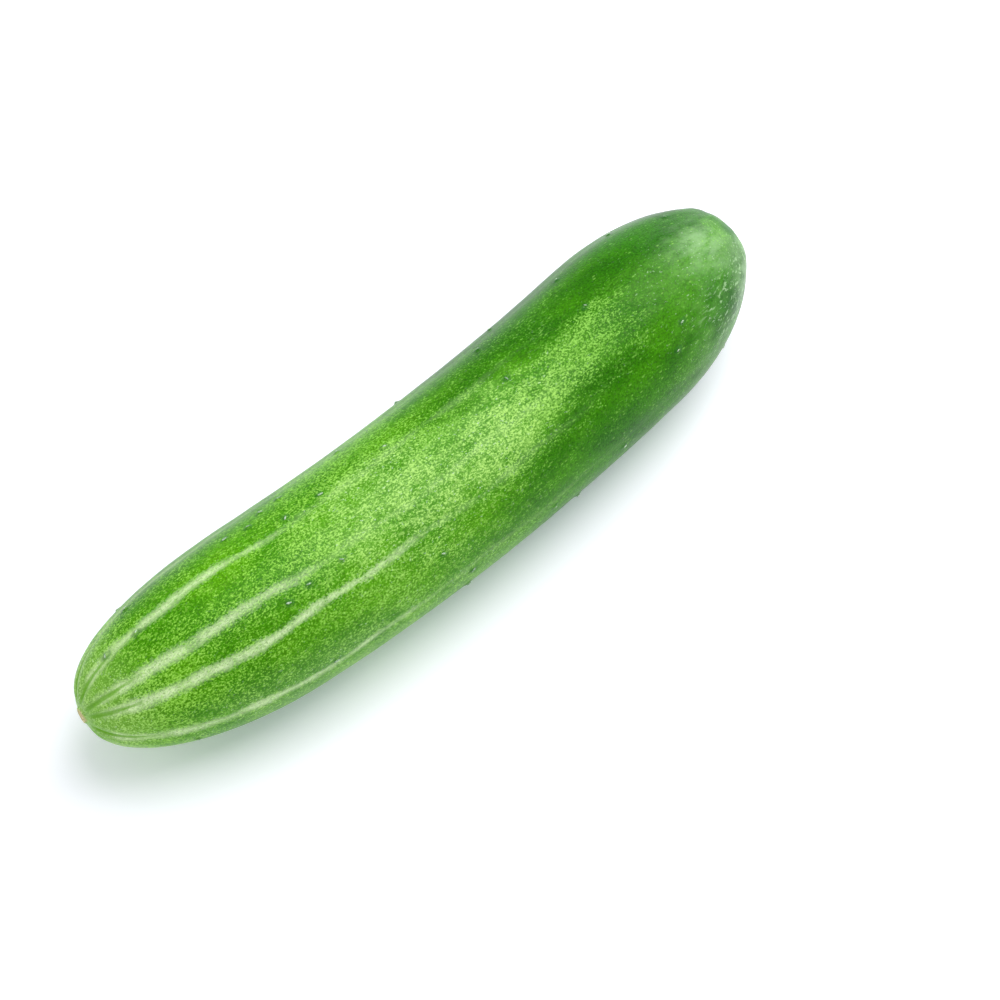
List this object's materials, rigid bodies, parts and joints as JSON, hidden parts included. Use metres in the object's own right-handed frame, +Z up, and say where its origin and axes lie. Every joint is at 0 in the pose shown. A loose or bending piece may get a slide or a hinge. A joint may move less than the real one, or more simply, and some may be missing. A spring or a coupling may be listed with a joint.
{
  "type": "cucumber",
  "caption": "Whole green cucumber lying on its side, slightly bowed, with rounded ends, low ribs and warts, a blossom scar and a short stem stub in a shallow hollow.",
  "frame": {"origin": "on the surface that the fruit lies on, at Z = 0, under the middle of its bounding box", "axes": "+X runs from the blossom end to the stem end, +Z is up, and the fruit bows out towards -Y"},
  "size_m": [0.206, 0.0484, 0.0448],
  "materials": {
    "cucumber_skin": "smooth, slightly waxy",
    "cut_stem": "dry, fibrous"
  },
  "bodies": {
    "root": {"fruit": "cucumber_skin", "stem_stub": "cut_stem"}
  },
  "joints": []
}
